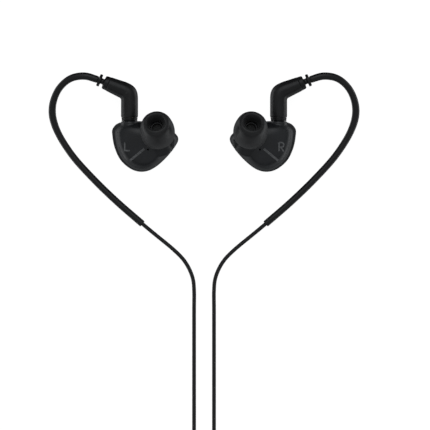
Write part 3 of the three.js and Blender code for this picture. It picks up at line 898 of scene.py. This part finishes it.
def inner_shell():
    body = to_object("inner_body", skin(housing_rings(INNER_SECTIONS)))
    boss = to_object("boss", socket_boss())
    combine(boss, to_object("half", box_shape((-40, 0, 4.62), (-10, 20, 20))), "INTERSECT")
    combine(body, boss, "UNION")
    nozzle_boss = turned([(0, -9), (5.9, -9), (5.0, -7.4), (4.2, -5.9), (3.4, -4.5), (3.1, -3.5), (0, -3.5)],
                         TIP_CENTRE, NOZZLE_WAY)
    combine(body, to_object("nozzle_boss", nozzle_boss), "UNION")
    melt(body, face_from=5.4)
    inside = [(z - WALL if i else 3.0, scale - WALL / 10, dx, dy)
              for i, (z, scale, dx, dy) in enumerate(INNER_SECTIONS[:-1])]
    cutters = [skin(housing_rings(inside, 80, 3)),
               turned(rod_profile(2.6, -9, -2), TIP_CENTRE, NOZZLE_WAY),
               turned(rod_profile(VENT[2], 5, 20), Vector((VENT[0], VENT[1], 0)), Vector((0, 0, 1)), 32)]
    for cutter in cutters:
        combine(body, to_object("cutter", cutter), "DIFFERENCE")
    combine(body, socket_bore(), "DIFFERENCE")
    return shape_of(body)


def outer_shell():
    body = to_object("outer_body", skin(housing_rings(OUTER_SECTIONS)))
    boss = to_object("boss", socket_boss())
    combine(boss, to_object("half", box_shape((-40, 0, 0), (-10, 20, 4.38))), "INTERSECT")
    combine(body, boss, "UNION")
    melt(body, passes=4)
    inside = [(1.2, 0.8, 0, 0), (2.2, 0.88, 0, 0), (3.6, 0.9, 0, 0), (6.0, 0.9, 0, 0)]
    combine(body, to_object("cutter", skin(housing_rings(inside, 80, 3))), "DIFFERENCE")
    combine(body, socket_bore(), "DIFFERENCE")
    return shape_of(body)


def printed_marks(shell):
    """A plain side letter and a bar on each inner shell, as thin raised ink that follows the face."""
    skin_of_shell = BVHTree.FromPolygons([v.co / MM for v in shell.data.vertices],
                                         [p.vertices[:] for p in shell.data.polygons])
    down, above, spacing, depth = Vector((0, 0, -1)), 40, 0.15, 0.1
    letter_half_width, bar_half_width, ink_rise = 0.27, 0.42, 0.05

    def on_face(x, y):
        return skin_of_shell.ray_cast(Vector((x, y, above)), down)[0]

    def stroke(made, points, half_width, rise):
        dense = []
        for a, b in zip(points, points[1:]):
            steps = max(2, round((b - a).length / spacing))
            dense += [a.lerp(b, i / steps) for i in range(steps)]
        dense.append(points[-1])
        rings = []
        for i, point in enumerate(dense):
            way = (dense[min(i + 1, len(dense) - 1)] - dense[max(i - 1, 0)]).normalized()
            across = Vector((-way.y, way.x)) * half_width
            row = [on_face(*(point + across * k / 3)) for k in range(-3, 4)]
            upper = [p + Vector((0, 0, rise)) for p in row]
            rings.append(upper + [p - Vector((0, 0, depth)) for p in row[::-1]])
        skin(rings, into=made)

    bowl = [(1.15 + 0.85 * math.sin(math.radians(a)), 2.35 + 0.85 * math.cos(math.radians(a)))
            for a in range(0, 181, 15)]
    letters = {"left": [[(0.25, 3.2), (0.25, 0)], [(0, 0.25), (2.1, 0.25)]],
               "right": [[(0.25, 0), (0.25, 3.2)], [(0.25, 3.2), *bowl, (0.25, 1.5)],
                         [(0.9, 1.5), (1.95, 0)]]}
    letter_middle, letter_foot, half_letter = -28.1, -1.5, 1.05
    bar = [Vector((-27.0, -4.9)), Vector((-21.7, -0.6))]
    for side, sign in zip(SIDES, (1, -1)):
        foot = Vector((letter_middle - sign * half_letter, letter_foot))
        made = bmesh.new()
        for i, line in enumerate(letters[side]):
            points = [Vector((foot.x + sign * x, foot.y + y)) for x, y in line]
            stroke(made, points, letter_half_width, ink_rise + 0.01 * i)  # each a little over the last
        stroke(made, bar, bar_half_width, ink_rise)
        shape = made if side == "left" else mirror_of(made)
        settle(to_object(f"{side}_printed_mark", shape), f"{side}_earpiece", INK)


def make_housing():
    """Both shells, the marks on them, and the drivers and board inside."""
    left, _ = both_sides("inner_shell", inner_shell(), "earpiece", SHELL, sharp=50)
    both_sides("outer_shell", outer_shell(), "earpiece", SHELL, sharp=50)
    printed_marks(left)
    fillet = 0.2
    boxes = [("bass_driver", (-24.5, -4.5, 1.9), (-16.5, -0.5, 5.3), CAN),
             ("treble_driver", (-19.5, 1.4, 4.0), (-14.3, 4.4, 6.4), CAN),
             ("crossover_board", (-25.2, 0.4, 1.8), (-17.6, 5.6, 2.6), BOARD)]
    for name, low, high, look in boxes:
        shape = box_shape(low, high)
        bmesh.ops.bevel(shape, geom=shape.edges, offset=fillet, segments=3, affect="EDGES", profile=0.5)
        both_sides(name, shape, "earpiece", look)


# -------------------- nozzle, ear tip and connector
def make_nozzle():
    tube = [(1.7, -7.2), (2.3, -7.2), (2.3, 1.2), (2.42, 1.5), (2.42, 2.0), (2.3, 2.3), (2.25, 2.8),
            (1.7, 2.8), (1.7, -7.2)]
    both_sides("nozzle_tube", along_nozzle(tube), "earpiece", NOZZLE)
    both_sides("nozzle_screen", along_nozzle(rod_profile(1.6, 1.7, 2.1), fillet=0.05), "earpiece", SCREEN)


def make_ear_tip():
    """The skirt, the rounded mouth and the sleeve that grips the nozzle, as one turned wall."""
    skirt_outside = [(5.75, -2.75), (5.95, -2.68), (6.15, -1.6), (6.25, -0.2), (6.2, 1.3), (5.95, 2.9),
                     (5.62, 4.3), (5.2, 5.4), (4.6, 6.12), (3.95, 6.4), (3.45, 6.22)]
    mouth = [(3.05, 5.6), (2.6, 4.75), (2.38, 3.9), (2.33, 3.15), (2.62, 2.95)]
    sleeve = [(2.62, -2.0), (2.85, -2.25), (3.2, -2.2), (3.35, 0.0), (3.45, 3.4), (3.8, 4.3)]
    skirt_inside = [(4.5, 4.3), (5.15, 3.2), (5.5, 1.2), (5.6, -0.6), (5.5, -2.5)]
    rows = [*skirt_outside, *mouth, *sleeve, *skirt_inside]
    smooth = between([*rows[-2:], *rows, *rows[:2]], 4)[8:-4]
    both_sides("ear_tip", turned([*smooth, smooth[0]], TIP_CENTRE, NOZZLE_WAY, 112), "tip", SILICONE)


def make_connector():
    """The socket in the housing, the plug that goes into it, and the split ring that holds the two."""
    barrel = [(0.95, 6.1), (1.4, 6.1), (1.4, 7.1), (1.15, 7.1), (1.15, 7.9), (1.4, 7.9), (1.4, 13.4),
              (0.95, 13.4), (0.95, 6.1)]
    socket = [(0.85, 4.4), (2.2, 4.4), (2.2, 9.3), (1.85, 9.3), (1.85, 5.0), (0.85, 5.0), (0.85, 4.4)]
    contact = [(0, 3.9), (0.55, 3.9), (0.55, 7.7), (0.38, 7.7), (0.38, 5.5), (0, 5.5)]
    pin = [(0, 6.4), (0.14, 6.45), (0.25, 6.75), (0.25, 13), (0, 13)]
    collar = [(1.45, 9.38), (1.95, 9.38), (1.95, 9.62), (2.75, 9.62), (2.92, 9.78), (2.92, 10.0),
              (2.8, 10.06), (2.8, 10.22), (2.92, 10.28), (2.92, 10.84), (1.45, 10.84), (1.45, 9.38)]
    parts = [
        ("socket_barrel", socket, "earpiece", GOLD), ("socket_contact", contact, "earpiece", GOLD),
        ("socket_insulator", tube_profile(0.7, 1.7, 5.15, 5.8), "earpiece", INSULATOR),
        ("plug_barrel", barrel, "cable_harness", GOLD), ("plug_pin", pin, "cable_harness", GOLD),
        ("plug_insulator", tube_profile(0.35, 0.82, 8.2, 13.2), "cable_harness", INSULATOR),
        ("plug_collar", collar, "cable_harness", COLLAR),
    ]
    for name, profile, body, look in parts:
        both_sides(name, along_axis(profile, fillet=0.05), body, look)
    radius, height, wire_radius, steps = 1.475, 7.5, 0.17, 80
    angles = [math.radians(30 + 300 * i / steps) for i in range(steps + 1)]
    ring = [AXIS + Vector((radius * math.cos(a), height, radius * math.sin(a))) for a in angles]
    wire = [wire_radius * min(1, 0.5 + min(i, steps - i) / 3) for i in range(steps + 1)]
    both_sides("snap_ring", skin(rings_along(ring, wire, 16)), "swivel", SPRING)


def elbow_rings(sides=56):
    """Up the swivel axis, round the bend about its inner corner, and out along the tapering arm."""
    radius, inner, bulge, bend_steps = 3.1, 1.0, 0.4, 24
    arm_end, arm_radius = 8.3, 2.65
    bend_radius = inner + radius
    start_y = ELBOW_CORNER.y - bend_radius * math.tan(ELBOW_TURN / 2)
    pivot = Vector((AXIS.x - bend_radius, start_y, AXIS.z))
    up = Vector((0, 0, 1))

    def ring(middle, outward, across, high):
        return [middle + outward * across * c - up * high * s for c, s in circle(sides)]

    right = Vector((1, 0, 0))
    foot = [(10.9, 2.85), (10.93, 2.95), (11.05, 3.02), (11.25, 3.07), (11.6, radius)]
    rings = [ring(Vector((AXIS.x, y, AXIS.z)), right, r, r) for y, r in foot]
    for i in range(bend_steps + 1):
        share = i / bend_steps
        outward = Quaternion(up, ELBOW_TURN * share) @ right
        across = radius + bulge / 2 * math.sin(math.pi * share) ** 2
        rings.append(ring(pivot + outward * (inner + across), outward, across, radius))
    outward = Quaternion(up, ELBOW_TURN) @ right
    way = Quaternion(up, ELBOW_TURN) @ Vector((0, 1, 0))
    bend_end = bend_radius * math.tan(ELBOW_TURN / 2)
    for share, drop in ((0.3, 0), (0.6, 0), (0.95, 0), (0.985, 0.03), (1.0, 0.1)):
        r = radius + (arm_radius - radius) * share - drop
        rings.append(ring(ELBOW_CORNER + way * (bend_end + (arm_end - bend_end) * share), outward, r, r))
    return rings


def make_elbow():
    """The angled arm with a bore for the plug and a dimple on top, and the stepped relief at its end."""
    body = to_object("elbow_body", skin(elbow_rings()))
    combine(body, to_object("bore", along_axis(rod_profile(1.6, 9, 13.8))), "DIFFERENCE")
    dimple = turned(rod_profile(0.75, 0, 1), Vector((AXIS.x, 12.9, AXIS.z + 3.0)), Vector((0, 0, 1)))
    combine(body, to_object("dimple", dimple), "DIFFERENCE")
    both_sides("plug_elbow", shape_of(body), "cable_harness", PLUG)
    way = Quaternion((0, 0, 1), ELBOW_TURN) @ Vector((0, 1, 0))
    relief = [(0, 8.34), (2.5, 8.34), (2.6, 8.44), (2.47, 9.75), (2.2, 10.1), (1.2, 10.18), (1.06, 10.4),
              (1.06, 11.1), (1.25, 11.28), (2.2, 11.3), (2.3, 11.4), (2.3, 12.1), (2.15, 12.3), (0, 12.3)]
    shape = turned(rounded(relief, 0.12), ELBOW_CORNER, way)
    both_sides("strain_relief", shape, "cable_harness", COLLAR)


def make_hook():
    """A hollow sleeve over the lead, a little fuller round its two bends, with a rounded lower end."""
    points = smooth_route(HOOK_ROUTE, 0.5)
    lead = points[:-3]
    way = (points[-1] - points[-2]).normalized()
    edge, edge_drop, start_drop, swell, swell_reach = 0.3, 0.25, 0.1, 0.1, 9
    points[-1:] = [points[-1] - way * d for d in (edge, 0.15, 0.05, 0)]
    bends = [Vector(HOOK_ROUTE[1]), Vector(HOOK_ROUTE[5])]
    outer = []
    for point in points:
        fuller = max(ease(1 - (point - bend).length / swell_reach) for bend in bends)
        close = max(0.0, 1 - (point - points[-1]).length / edge)
        outer.append(HOOK_RADIUS + swell * fuller - edge_drop * (1 - math.sqrt(1 - close * close)))
    outer[0] = HOOK_RADIUS - start_drop
    outside = rings_along(points, outer, 28)
    inside = rings_along(points, [HOOK_BORE] * len(points), 28)
    both_sides("ear_hook", hollow([*outside, *inside[::-1]]), "cable_harness", HOOK)
    both_sides("hook_lead", skin(rings_along(lead, [LEAD_RADIUS] * len(lead), 20)), "cable_harness", JACKET)


# -------------------- assembly
make_camera()
make_floor()
make_studio()
coil_ties = {
    "left": [coil_tie("left_coil_tie", BRANCH_COIL)],
    "right": [coil_tie("right_coil_tie", BRANCH_COIL, -1)],
    "main": [coil_tie("main_coil_tie", MAIN_COIL)],
}
slider = chin_slider()
split = y_split()
jack = jack_plug()
make_cords()
make_housing()
make_nozzle()
make_ear_tip()
make_connector()
make_elbow()
make_hook()
